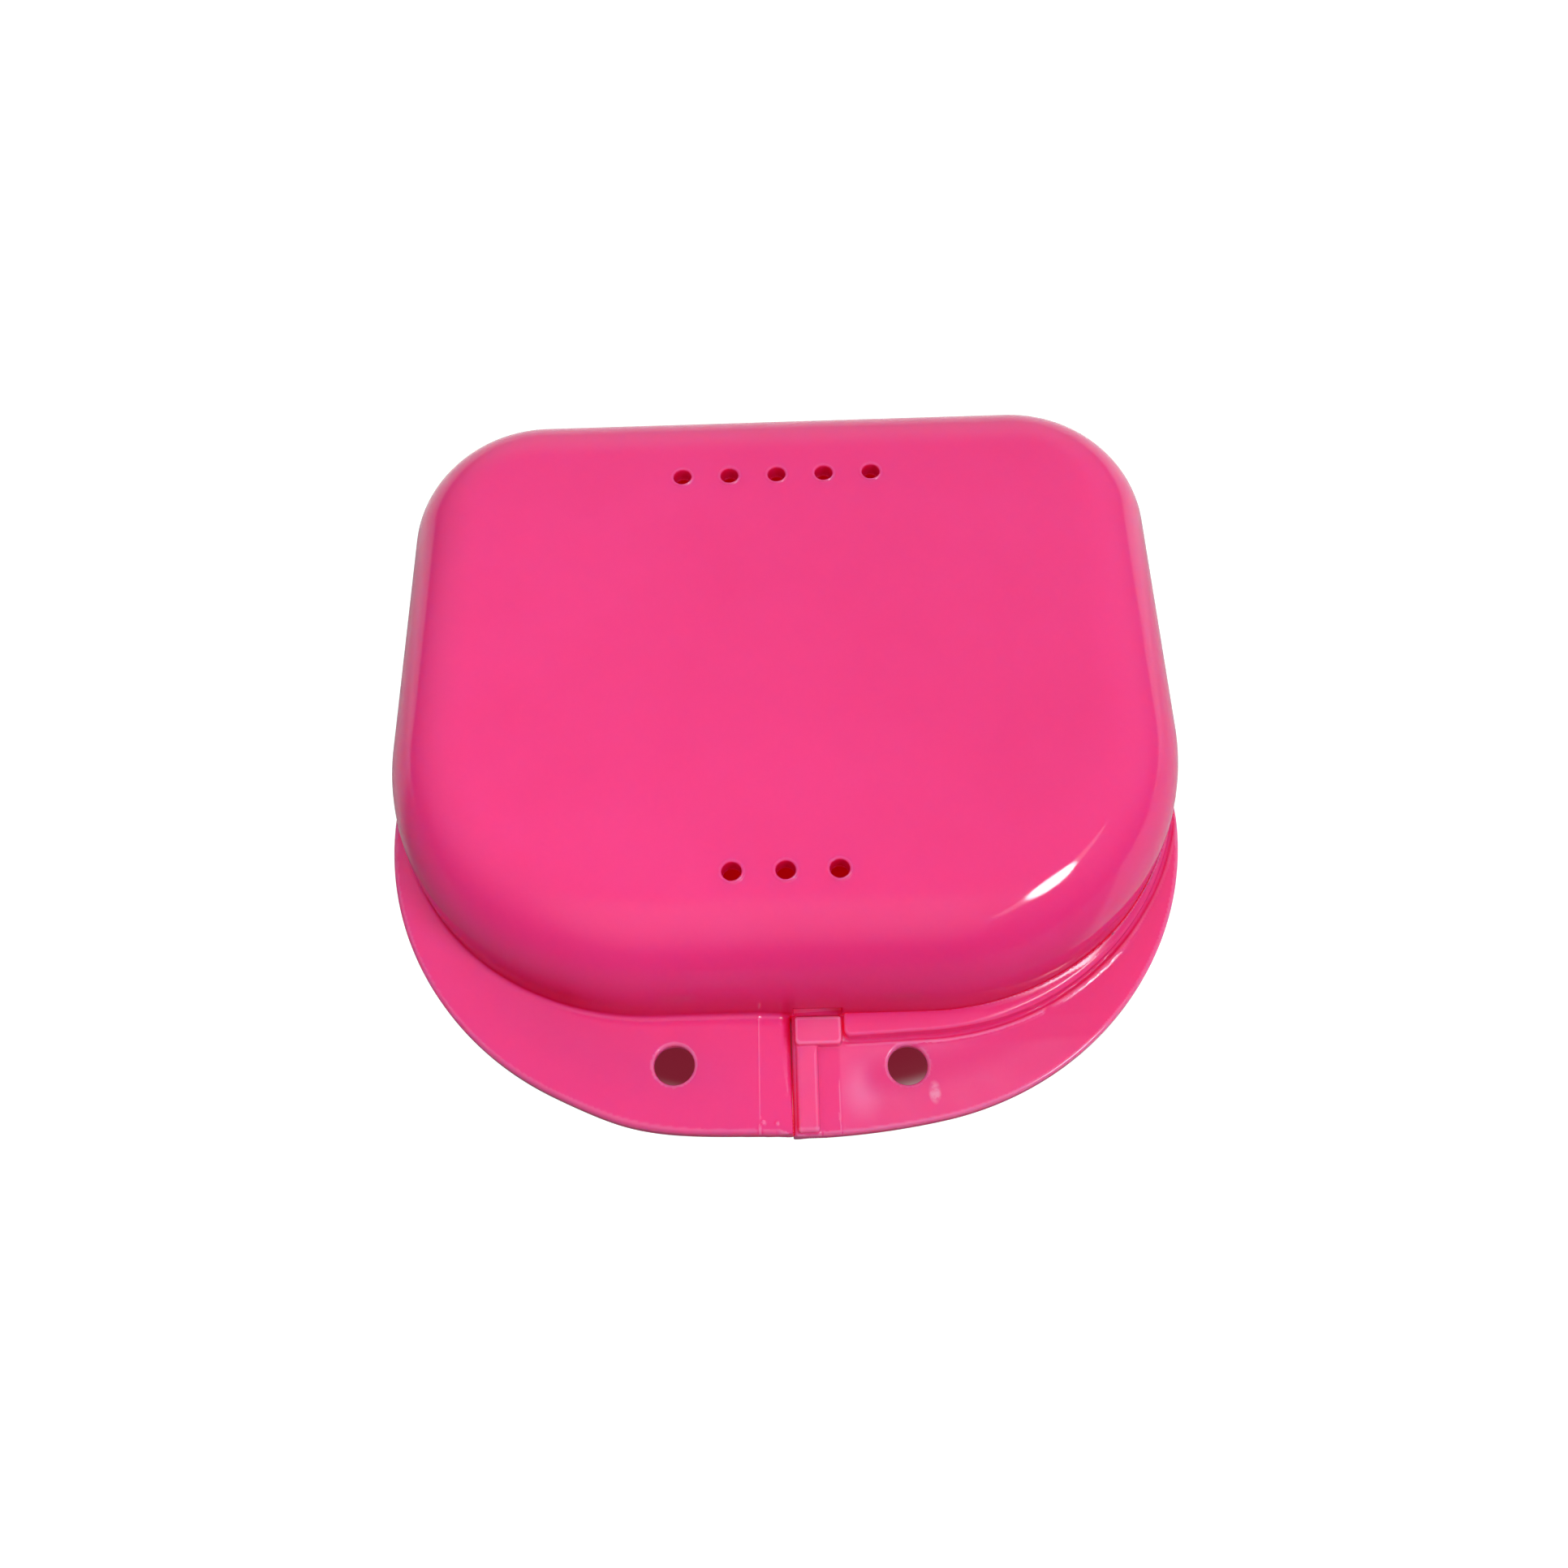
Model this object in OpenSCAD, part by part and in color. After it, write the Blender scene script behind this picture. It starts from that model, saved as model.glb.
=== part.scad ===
// Vented two-shell case for an orthodontic retainer, drawn closed.
// Both shells are the same moulding: the lid is the base turned half a turn
// about the Y axis through the parting plane.
// +Z up, -Y towards the opening lip, +X to the right seen from the front.
// Origin: middle of the bottom of the bounding box. All lengths in mm.

/* [Body] */
// outside width across the two side walls
body_width = 80; // [78:0.5:84]
// outside depth from the front wall to the back wall
body_depth = 67.4; // [65:0.2:70]
// height of one shell, from its flat face to the parting plane
half_height = 13; // [12.5:0.25:15]
// plan radius of the two front corners
front_corner_r = 26.9; // [25:0.1:28]
// plan radius of the two back corners
rear_corner_r = 14.6; // [13:0.1:16]
// radius of the rounding between the flat face and the walls
edge_r = 9; // [7:0.25:9.5]
// wall and floor thickness
wall = 1.8; // [1.5:0.1:2]
// gap between the two rims when closed
rim_gap = 0.2; // [0.1:0.05:0.3]

/* [Vents] */
// diameter of one vent hole
vent_d = 1.85; // [1.4:0.05:2.4]
// spacing of the vent holes along a row
vent_pitch = 5; // [4:0.1:6]
// holes in the row near the hinge
vents_back = 5; // [3:1:7]
// holes in the row near the lip
vents_front = 3; // [1:1:5]
// distance of the hinge row from the back wall
vent_back_inset = 12; // [10.5:0.25:16]
// distance of the lip row from the front wall
vent_front_inset = 9.6; // [9.5:0.1:14]

/* [Lip] */
// reach of the lip in front of the front wall, on the centre line
lip_reach = 11.9; // [11:0.1:13]
// largest half width of the lip outline
lip_half_width = 40.2; // [40.1:0.05:40.5]
// radius of the outline across the middle of the lip
lip_front_r = 75; // [70:1:80]
// radius of the outline round the two ends of the lip
lip_corner_r = 32; // [31:0.25:33]
// thickness of the lip sheet
lip_t = 1.7; // [1.5:0.1:1.9]
// how far the inner face of the lip passes the parting plane
lip_rise = 0.2; // [0.15:0.05:0.3]
// width of the split between the two half lips
split_gap = 0.2; // [0.15:0.05:0.4]
// diameter of the hole in each half lip
lip_hole_d = 3.8; // [3.2:0.1:4.4]
// distance of each lip hole from the centre line
lip_hole_x = 11.1; // [10:0.1:13]
// distance of each lip hole in front of the front wall
lip_hole_reach = 5.15; // [4.9:0.05:5.6]
// depth of the thumb scoop in the inner face of the lip
scoop_depth = 0.5; // [0.3:0.05:0.6]
// radius of the scoop across the lip
scoop_r = 9; // [8:0.5:12]
// width of the ramp beside the split, on the outer face
strip_w = 2.95; // [2.4:0.05:3.2]
// depth of that ramp at the split
strip_depth = 1; // [0.6:0.05:1]

/* [Catch] */
// clear space between a wall and the catch parts of the other shell
catch_gap = 0.3; // [0.25:0.05:0.4]
// height of the locating ridge above the parting plane
ridge_rise = 1.1; // [0.8:0.1:1.3]
// width of the locating ridge in front of the wall, at its end beside the block
ridge_w = 2.65; // [2.5:0.05:2.9]
// width of the ridge round the front corner, before it tapers off
ridge_corner_w = 1.3; // [1.1:0.1:1.5]
// width of the catch block beside the split
block_w = 4.5; // [4:0.1:4.8]
// reach of the catch block in front of the front wall
block_reach = 3.4; // [3.2:0.1:3.6]
// length of the lead-in slope on top of the block, in front of the wall
block_lead = 0.6; // [0.3:0.1:1]
// height of the catch block above the parting plane
block_rise = 1.25; // [1:0.05:1.5]
// width of the stiffening rib in front of the block
rib_w = 2.1; // [1.8:0.1:2.4]
// height of that rib above the parting plane
rib_rise = 0.75; // [0.5:0.05:0.9]
// depth of the notch in the wall that takes the other shell's block
notch_depth = 0.9; // [0.8:0.05:1]
// height of that notch above the parting plane
notch_h = 2.2; // [2:0.1:2.6]
// radius of the catch bead along the inner face of the block
bead_r = 0.25; // [0.2:0.05:0.3]

/* [Hinge] */
// distance of the hinge axis behind the back wall
hinge_offset = 2.5; // [2.45:0.05:2.8]
// distance of each hinge station from the centre line
hinge_x = 20; // [16:0.5:22]
// outside radius of the hinge knuckles
knuckle_r = 2.2; // [2.1:0.05:2.2]
// width of the middle knuckle
lug_w = 8; // [7:0.5:9]
// width of each outer knuckle
ear_w = 3; // [2.5:0.25:3.5]
// sideways gap between knuckles
knuckle_gap = 0.2; // [0.15:0.05:0.3]
// radius of the hinge pin
pin_r = 1.1; // [1:0.05:1.15]
// radial clearance of the pin in the outer knuckles
pin_clear = 0.05; // [0.03:0.01:0.08]
// height of the gusset under each knuckle
gusset_h = 5; // [4.5:0.25:5.5]

/* [Hidden] */
shell_pink = [0.96, 0.28, 0.54];
pin_pink = [0.90, 0.24, 0.48];
$fn = 96;
eps = 0.01;

half_w = body_width / 2;
total_depth = lip_reach + body_depth + hinge_offset + knuckle_r;
lip_y = -total_depth / 2;
front_y = lip_y + lip_reach;
back_y = front_y + body_depth;
hinge_y = back_y + hinge_offset;
parting_z = half_height;
rim_z = half_height - rim_gap / 2;
// plan centres of the corners
fcx = half_w - front_corner_r;
fcy = front_y + front_corner_r;
rcx = half_w - rear_corner_r;
rcy = back_y - rear_corner_r;
// lip sheet, below its inner face
lip_top = parting_z + lip_rise;
lip_bottom = lip_top - lip_t;
// lip outline: middle arc blending into an arc at each end
lip_oy = lip_y + lip_front_r;
lip_cx = lip_half_width - lip_corner_r;
lip_cy = lip_oy - sqrt(pow(lip_front_r - lip_corner_r, 2) - pow(lip_cx, 2));
lip_tan = atan2(lip_cx, lip_oy - lip_cy);
// catch
block_x0 = split_gap / 2 + 0.25;
block_x1 = block_x0 + block_w;
block_in = notch_depth - 0.4;
ridge_x0 = block_x1 + 0.25;
// ridge outline: a straight run from beside the block, tangent to an arc round the corner
ridge_r = front_corner_r + ridge_corner_w;
ridge_cx = fcx - 1.1;
ridge_cy = fcy - 1;
ridge_dx = ridge_cx - ridge_x0;
ridge_dy = ridge_cy - front_y + ridge_w;
ridge_d = sqrt(pow(ridge_dx, 2) + pow(ridge_dy, 2));
ridge_a = atan2(ridge_dy, ridge_dx) - asin(ridge_r / ridge_d);
ridge_l = sqrt(pow(ridge_d, 2) - pow(ridge_r, 2));
// gusset runs from the wall to a tangent on the knuckle
gus_d = sqrt(pow(hinge_offset, 2) + pow(gusset_h, 2));
gus_a = atan2(gusset_h, hinge_offset) - asin(knuckle_r / gus_d);
gus_l = sqrt(pow(gus_d, 2) - pow(knuckle_r, 2));
pin_l = lug_w + 2 * knuckle_gap + 2 * ear_w - 0.4;

// Half section of a rounded edge: outer face at w, flat face at 0.
module edge_profile(w, h, r) {
    polygon([[0, 0], [w - r, 0], [w - r, r], [w, r], [w, h], [0, h]]);
    intersection() {
        translate([w - r, r]) circle(r = r);
        translate([w - r, -1]) square([r + 1, r + 1]);
    }
}

// One straight run of wall and floor, from the centre side outwards.
module run(w, h, r, len) {
    rotate([90, 0, 0]) linear_extrude(height = len) edge_profile(w, h, r);
}

// Closed tray shape, inset from the outside by the given amount.
module tray_form(inset, z0, top) {
    h = top - z0;
    r = edge_r - inset;
    rf = front_corner_r - inset;
    rr = rear_corner_r - inset;
    translate([0, 0, z0]) {
        for (s = [0, 1]) {
            translate([s == 0 ? fcx : -fcx, fcy, 0])
                rotate([0, 0, s == 0 ? -90 : 180])
                    rotate_extrude(angle = 90) edge_profile(rf, h, r);
            translate([s == 0 ? rcx : -rcx, rcy, 0])
                rotate([0, 0, s == 0 ? 0 : 90])
                    rotate_extrude(angle = 90) edge_profile(rr, h, r);
        }
        // side walls
        translate([rcx, rcy, 0]) run(rr, h, r, rcy - fcy);
        translate([-rcx, fcy, 0]) rotate([0, 0, 180]) run(rr, h, r, rcy - fcy);
        // front and back walls
        translate([fcx, fcy, 0]) rotate([0, 0, -90]) run(rf, h, r, 2 * fcx);
        translate([-rcx, rcy, 0]) rotate([0, 0, 90]) run(rr, h, r, 2 * rcx);
        // middle
        translate([-rcx, fcy, 0]) cube([2 * rcx, rcy - fcy, h]);
    }
}

// Plan outline of the body, inset by the given amount.
module plan(inset) {
    for (s = [-1, 1]) {
        translate([s * fcx, fcy]) circle(r = front_corner_r - inset);
        translate([s * rcx, rcy]) circle(r = rear_corner_r - inset);
    }
    translate([-fcx, front_y + inset]) square([2 * fcx, body_depth / 2]);
    translate([-half_w + inset, fcy]) square([body_width - 2 * inset, rcy - fcy]);
    translate([-rcx, rcy - eps]) square([2 * rcx, back_y - inset - rcy + eps]);
}

// Full plan outline of the lip: three arcs that meet at tangents.
module lip_plan() {
    for (s = [-1, 1])
        translate([s * lip_cx, lip_cy]) circle(r = lip_corner_r);
    intersection() {
        translate([0, lip_oy]) circle(r = lip_front_r);
        polygon([[0, lip_oy],
                 [-100 * sin(lip_tan), lip_oy - 100 * cos(lip_tan)],
                 [100 * sin(lip_tan), lip_oy - 100 * cos(lip_tan)]]);
    }
}

// The right half of the lip outline.
module half_lip_plan() {
    intersection() {
        lip_plan();
        translate([split_gap / 2, lip_y - 5])
            square([half_w + 10, lip_cy + 12 - lip_y + 5]);
    }
}

// Sheet of the half lip with the thumb scoop sunk into its inner face.
module lip_sheet() {
    difference() {
        translate([0, 0, lip_bottom]) linear_extrude(height = lip_t) half_lip_plan();
        intersection() {
            translate([lip_cx, lip_cy, lip_top + scoop_r - scoop_depth])
                rotate_extrude() translate([lip_corner_r - 6.2, 0]) circle(r = scoop_r);
            translate([block_x1 - 0.2, lip_y - 5, lip_bottom]) cube([60, 60, 10]);
        }
        // ramp beside the split, on the outer face
        translate([0, front_y + wall / 2, 0]) rotate([90, 0, 0]) linear_extrude(height = lip_reach + 5)
            polygon([[0, lip_bottom - 1],
                     [split_gap / 2 + strip_w, lip_bottom - 1],
                     [split_gap / 2 + strip_w, lip_bottom],
                     [split_gap / 2, lip_bottom + strip_depth],
                     [0, lip_bottom + strip_depth]]);
    }
}

// Crescent ridge that stands in front of the other shell's wall.
module ridge() {
    translate([0, 0, lip_bottom]) linear_extrude(height = parting_z + ridge_rise - lip_bottom)
        intersection() {
            union() {
                translate([ridge_cx, ridge_cy]) circle(r = ridge_r);
                polygon([[ridge_x0, front_y - ridge_w],
                         [ridge_x0 + ridge_l * cos(ridge_a), front_y - ridge_w + ridge_l * sin(ridge_a)],
                         [ridge_cx, ridge_cy],
                         [ridge_x0, ridge_cy]]);
            }
            lip_plan();
            translate([ridge_x0, lip_y]) square([half_w, lip_reach + front_corner_r]);
        }
}

// Catch block with a lead-in slope and a bead, and the rib in front of it.
module catch_block() {
    top = parting_z + block_rise;
    translate([block_x0, 0, 0]) rotate([90, 0, 90]) linear_extrude(height = block_w)
        polygon([[front_y - block_reach, lip_bottom + strip_depth],
                 [front_y - block_reach, top],
                 [front_y - block_lead, top],
                 [front_y + block_in - bead_r, top - 0.6],
                 [front_y + block_in - bead_r, rim_z - 0.6],
                 [front_y - catch_gap, rim_z - 0.6],
                 [front_y - catch_gap, lip_bottom + strip_depth]]);
    translate([block_x0, front_y + block_in - bead_r, top - 0.6 - bead_r])
        rotate([0, 90, 0]) cylinder(r = bead_r, h = block_w, $fn = 24);
    translate([0, 0, lip_bottom + strip_depth])
        linear_extrude(height = parting_z + rib_rise - lip_bottom - strip_depth)
            intersection() {
                lip_plan();
                translate([block_x0, lip_y]) square([rib_w, lip_reach - block_reach + 0.2]);
            }
}

// Half lip with everything that stands on it.
module lip() {
    difference() {
        union() {
            lip_sheet();
            ridge();
        }
        // room for the wall of the other shell
        translate([0, 0, rim_z]) linear_extrude(height = 6) plan(-catch_gap);
    }
    catch_block();
}

// One knuckle between two X positions, with the gusset that carries it.
module knuckle(x0, x1) {
    translate([x0, hinge_y, parting_z]) rotate([0, 90, 0])
        cylinder(r = knuckle_r, h = x1 - x0);
    translate([x0, 0, 0]) rotate([90, 0, 90]) linear_extrude(height = x1 - x0)
        polygon([[back_y - wall / 2, parting_z - gusset_h],
                 [back_y, parting_z - gusset_h],
                 [back_y + gus_l * cos(gus_a), parting_z - gusset_h + gus_l * sin(gus_a)],
                 [hinge_y, parting_z],
                 [back_y, rim_z],
                 [back_y - wall / 2, rim_z]]);
}

module x_bore(x0, x1, r) {
    translate([x0, hinge_y, parting_z]) rotate([0, 90, 0]) cylinder(r = r, h = x1 - x0);
}

// One shell, drawn as the lower one.
module half_shell() {
    ear0 = lug_w / 2 + knuckle_gap;
    difference() {
        union() {
            tray_form(0, 0, rim_z);
            lip();
            knuckle(-hinge_x - lug_w / 2, -hinge_x + lug_w / 2);
            knuckle(hinge_x - ear0 - ear_w, hinge_x - ear0);
            knuckle(hinge_x + ear0, hinge_x + ear0 + ear_w);
        }
        tray_form(wall, wall, rim_z + 3);
        // vents through the flat face
        for (i = [0 : vents_back - 1])
            translate([(i - (vents_back - 1) / 2) * vent_pitch, back_y - vent_back_inset, -1])
                cylinder(d = vent_d, h = wall + 2, $fn = 32);
        for (i = [0 : vents_front - 1])
            translate([(i - (vents_front - 1) / 2) * vent_pitch, front_y + vent_front_inset, -1])
                cylinder(d = vent_d, h = wall + 2, $fn = 32);
        // hole in the lip
        translate([lip_hole_x, front_y - lip_hole_reach, lip_bottom - 1])
            cylinder(d = lip_hole_d, h = lip_t + 4, $fn = 48);
        // notch for the other shell's block
        translate([-block_x1 - 0.3, front_y - 1, parting_z - notch_h])
            cube([block_w + 0.6, notch_depth + 1, notch_h + 1]);
        // pin seats
        x_bore(-hinge_x - lug_w / 2 - 1, -hinge_x + lug_w / 2 + 1, pin_r);
        x_bore(hinge_x - ear0 - ear_w - 1, hinge_x + ear0 + ear_w + 1, pin_r + pin_clear);
    }
}

module hinge_pin(x) {
    c = 0.25;
    translate([x - pin_l / 2, hinge_y, parting_z]) rotate([0, 90, 0])
        rotate_extrude() polygon([[0, 0], [pin_r - c, 0], [pin_r, c], [pin_r, pin_l - c], [pin_r - c, pin_l], [0, pin_l]]);
}

// Lower shell, with the right half of the lip.
module base() {
    color(shell_pink) half_shell();
}

// Upper shell, with the left half of the lip.
module lid() {
    color(shell_pink) translate([0, 0, 2 * parting_z]) rotate([0, 180, 0]) half_shell();
}

// Pin of the left station, fixed in the base.
module hinge_pin_left() {
    color(pin_pink) hinge_pin(-hinge_x);
}

// Pin of the right station, fixed in the lid.
module hinge_pin_right() {
    color(pin_pink) hinge_pin(hinge_x);
}

base();
lid();
hinge_pin_left();
hinge_pin_right();
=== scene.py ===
import math
import bpy
import numpy as np
from mathutils import Matrix, Vector


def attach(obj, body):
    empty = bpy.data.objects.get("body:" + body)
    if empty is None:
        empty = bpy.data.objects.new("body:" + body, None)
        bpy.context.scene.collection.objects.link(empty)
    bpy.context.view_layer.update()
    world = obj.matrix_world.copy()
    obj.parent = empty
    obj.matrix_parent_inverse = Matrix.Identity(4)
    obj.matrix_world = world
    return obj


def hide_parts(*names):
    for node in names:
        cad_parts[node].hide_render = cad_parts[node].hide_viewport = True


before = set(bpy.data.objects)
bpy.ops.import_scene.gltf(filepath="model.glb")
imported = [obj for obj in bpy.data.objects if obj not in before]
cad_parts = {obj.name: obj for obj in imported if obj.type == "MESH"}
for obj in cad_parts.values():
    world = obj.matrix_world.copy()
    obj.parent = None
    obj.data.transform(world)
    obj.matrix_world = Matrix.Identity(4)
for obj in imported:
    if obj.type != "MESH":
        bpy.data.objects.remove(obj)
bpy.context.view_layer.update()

MM = 0.001

# ------------------------------------------------------------------ dimensions, mm
BODY_W, BODY_D, HALF_H = 80.0, 67.4, 13.0
RF, RR, EDGE, WALL = 26.9, 14.6, 9.0, 1.8
RIM_GAP = 0.2
LIP_REACH, LIP_HW, LIP_FR, LIP_CR, LIP_T, LIP_RISE = 11.9, 40.2, 75.0, 32.0, 1.7, 0.2
SPLIT = 0.2
RAMP_X, RAMP_H = SPLIT / 2 + 2.95, 1.0
HINGE_OFF, HINGE_X, KN_R, LUG_W, EAR_W, KN_GAP = 2.5, 20.0, 2.2, 8.0, 3.0, 0.2
PIN_R, PIN_CLEAR, GUSSET = 1.1, 0.05, 5.0
HW = BODY_W / 2
TOTAL = LIP_REACH + BODY_D + HINGE_OFF + KN_R
LIP_Y = -TOTAL / 2
FRONT = LIP_Y + LIP_REACH
BACK = FRONT + BODY_D
HINGE_Y = BACK + HINGE_OFF
ZP = HALF_H
RIM = HALF_H - RIM_GAP / 2
LIP_TOP = ZP + LIP_RISE
LIP_BOT = LIP_TOP - LIP_T
LIP_OY = LIP_Y + LIP_FR
LIP_CX = LIP_HW - LIP_CR
LIP_CY = LIP_OY - math.sqrt((LIP_FR - LIP_CR) ** 2 - LIP_CX ** 2)
HOLE_X, HOLE_Y, HOLE_R = 11.1, FRONT - 5.15, 1.9
BLOCK_X0, BLOCK_X1 = 0.35, 4.85
RIDGE_X0, RIDGE_Y0 = BLOCK_X1 + 0.25, FRONT - 2.65
RIDGE_CX, RIDGE_CY, RIDGE_R = HW - RF - 1.1, FRONT + RF - 1.0, RF + 1.3
RIDGE_D = math.hypot(RIDGE_CX - RIDGE_X0, RIDGE_CY - RIDGE_Y0)
RIDGE_A = math.atan2(RIDGE_CY - RIDGE_Y0, RIDGE_CX - RIDGE_X0) - math.asin(RIDGE_R / RIDGE_D)
RIDGE_L = math.sqrt(RIDGE_D ** 2 - RIDGE_R ** 2)
CATCH = 0.03
VENT_R, VENT_P = 0.925, 5.0
VENTS = [((i - 2) * VENT_P, BACK - 12.0) for i in range(5)] + [((i - 1) * VENT_P, FRONT + 9.6) for i in range(3)]


# ------------------------------------------------------------------ shape of one shell, as a distance field
def rmax(a, b, r):
    return np.minimum(np.maximum(a, b), -r) + np.hypot(np.maximum(a + r, 0), np.maximum(b + r, 0))


def rmin(a, b, r):
    return np.maximum(np.minimum(a, b), r) - np.hypot(np.maximum(r - a, 0), np.maximum(r - b, 0))


def step(a, b, v):
    t = np.clip((v - a) / (b - a), 0, 1)
    return t * t * (3 - 2 * t)


def box2(x, y, x0, x1, y0, y1, r):
    ax = np.abs(x - (x0 + x1) / 2) - (x1 - x0) / 2 + r
    ay = np.abs(y - (y0 + y1) / 2) - (y1 - y0) / 2 + r
    return np.hypot(np.maximum(ax, 0), np.maximum(ay, 0)) + np.minimum(np.maximum(ax, ay), 0) - r


def plan(x, y):
    py = y - (FRONT + BACK) / 2
    r = np.where(py < 0, RF, RR)
    qx = np.abs(x) - HW + r
    qy = np.abs(py) - BODY_D / 2 + r
    return np.minimum(np.maximum(qx, qy), 0) + np.hypot(np.maximum(qx, 0), np.maximum(qy, 0)) - r


def lip_outline(x, y):
    ax = np.abs(x)
    mid = np.hypot(ax, y - LIP_OY) - LIP_FR
    end = np.hypot(ax - LIP_CX, y - LIP_CY) - LIP_CR
    return np.where(ax * (LIP_OY - LIP_CY) < LIP_CX * (LIP_OY - y), mid, end)


def knuckle(x, y, z, x0, x1):
    half, xc = (x1 - x0) / 2, (x0 + x1) / 2
    ends = np.abs(x - xc) - half
    barrel = np.hypot(y - HINGE_Y, z - ZP) - KN_R
    d = math.hypot(HINGE_OFF, GUSSET)
    a = math.atan2(GUSSET, HINGE_OFF) - math.asin(KN_R / d)
    l = math.sqrt(d * d - KN_R * KN_R)
    ty, tz = BACK + l * math.cos(a), ZP - GUSSET + l * math.sin(a)
    low = (y - BACK) * math.sin(a) - (z - ZP + GUSSET) * math.cos(a)
    far = (y - ty) * math.cos(a) + (z - tz) * math.sin(a)
    web = np.maximum(np.maximum(low, far), np.maximum(z - RIM, BACK - 0.9 - y))
    return rmax(np.minimum(barrel, web), ends, 0.35)


def shell(x, y, z):
    """Signed distance to one shell, drawn as the lower one; x, y and z broadcast."""
    # the front wall leans out a little towards the parting plane
    q = plan(x, y) - 0.35 * step(3.0, 11.5, z) * (1 - step(FRONT + 2.0, FRONT + 22.0, y))
    a, b = q + EDGE, EDGE - z
    out = np.hypot(np.maximum(a, 0), np.maximum(b, 0)) + np.minimum(np.maximum(a, b), 0) - EDGE
    tray = np.abs(out + WALL / 2) - WALL / 2
    tray = rmax(tray, z - RIM, 0.3)
    vents, burr = None, 0.0
    for vx, vy in VENTS:
        v = np.hypot(x - vx, y - vy) - VENT_R
        vents = v if vents is None else np.minimum(vents, v)
        # each vent has a fine raised edge, highest on one side
        towards = np.clip(-(0.62 * (x - vx) + 0.78 * (y - vy)) / (v + VENT_R + 0.05), 0, 1)
        burr = burr + (0.05 + 0.10 * towards ** 2) * np.exp(-((v - 0.2) / 0.13) ** 2)
    tray = tray - burr * (z < 2.5)
    tray = rmax(tray, -np.maximum(vents, z - 4.0), 0.12)

    # half lip: sheet with a scoop in its inner face and a ramp beside the split on its outer face
    edge = lip_outline(x, y)
    inn = -edge
    ca, sa = math.cos(RIDGE_A), math.sin(RIDGE_A)
    rr = np.where((x - RIDGE_X0) * ca + (y - RIDGE_Y0) * sa < RIDGE_L,
                  (x - RIDGE_X0) * sa - (y - RIDGE_Y0) * ca,
                  np.hypot(x - RIDGE_CX, y - RIDGE_CY) - RIDGE_R)
    across = np.maximum(0, 1 - ((inn - 5.2) / 5.6) ** 2)
    along = step(3.4, 8.0, x) * (1 - step(24.0, 37.0, x))
    ztop = LIP_TOP - 0.12 * step(2.4, 2.8, x) - 0.75 * across * across * along
    ztop = ztop - 0.05 * step(4.45, 4.6, x) * (1 - step(5.0, 7.0, x)) * step(FRONT - 6.0, FRONT - 7.5, y)
    # groove at the foot of the ridge, with a fine raised line along its far side
    ztop = ztop - 0.28 * np.exp(-((rr - 0.2) / 0.28) ** 2) * step(4.6, 5.6, x)
    line = step(9.5, 12.5, x) * (1 - step(24.3, 25.0, x)) + step(25.0, 26.5, x) * (1 - step(32.5, 36.0, x))
    ztop = ztop + 0.2 * np.exp(-((rr - 0.7) / 0.24) ** 2) * line
    open_ = step(LIP_Y + 0.5, FRONT - 2.5, y)
    half = 0.002 + 0.04 * open_
    fall = (RAMP_X - x) * (RAMP_H / (RAMP_X - SPLIT / 2)) * (0.3 + 0.3 * open_)
    fall = 0.5 * (fall + np.sqrt(fall * fall + 0.0036))
    turn_r = 0.15 + 0.95 * open_
    near = np.clip(1 - (x - half) / turn_r, 0, 1)
    fall = fall + turn_r * (1 - np.sqrt(np.maximum(1 - near * near, 0)))
    zbot = LIP_BOT + fall - 0.05 * np.exp(-((x - RAMP_X) / 0.14) ** 2)
    side = rmax(edge, half - x, 0.04)
    away = step(0.3, 1.6, x)
    lip = rmax(side, z - ztop, 0.1 + 0.3 * away)
    lip = rmax(lip, zbot - z, 0.12 + 0.38 * away)
    lip = np.maximum(lip, -(q + WALL / 2))
    for bx, by in ((2.75, LIP_Y + 1.15), (1.45, LIP_Y + 1.0)):
        bz = LIP_BOT + 0.35 * (RAMP_X - bx) * (RAMP_H / (RAMP_X - SPLIT / 2))
        bump = np.sqrt((x - bx) ** 2 + (y - by) ** 2 + (z - bz - 0.2) ** 2) - 0.33
        lip = rmin(lip, bump, 0.1)
    # locating ridge: flat-topped at the front, sloping outwards from the wall round the corner
    bend = step(16.0, 24.0, x)
    slope = np.clip((q - CATCH - 0.1) / 0.45, 0, 1)
    zr = ZP + 1.1 - bend * (0.279 * slope - 0.072 * slope * slope) - 1.0 * step(FRONT + 17.5, FRONT + 21.5, y)
    ridge = rmax(rr, RIDGE_X0 - x, 0.7)
    ridge = rmax(ridge, z - zr, 0.3 + 0.4 * bend)
    ridge = rmax(ridge, CATCH - q, 0.08)
    ridge = np.maximum(ridge, y - FRONT - 21.5)
    ridge = np.maximum(ridge, np.maximum(LIP_BOT + 0.5 - z, edge))
    lip = rmin(lip, ridge, 0.18)
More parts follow.
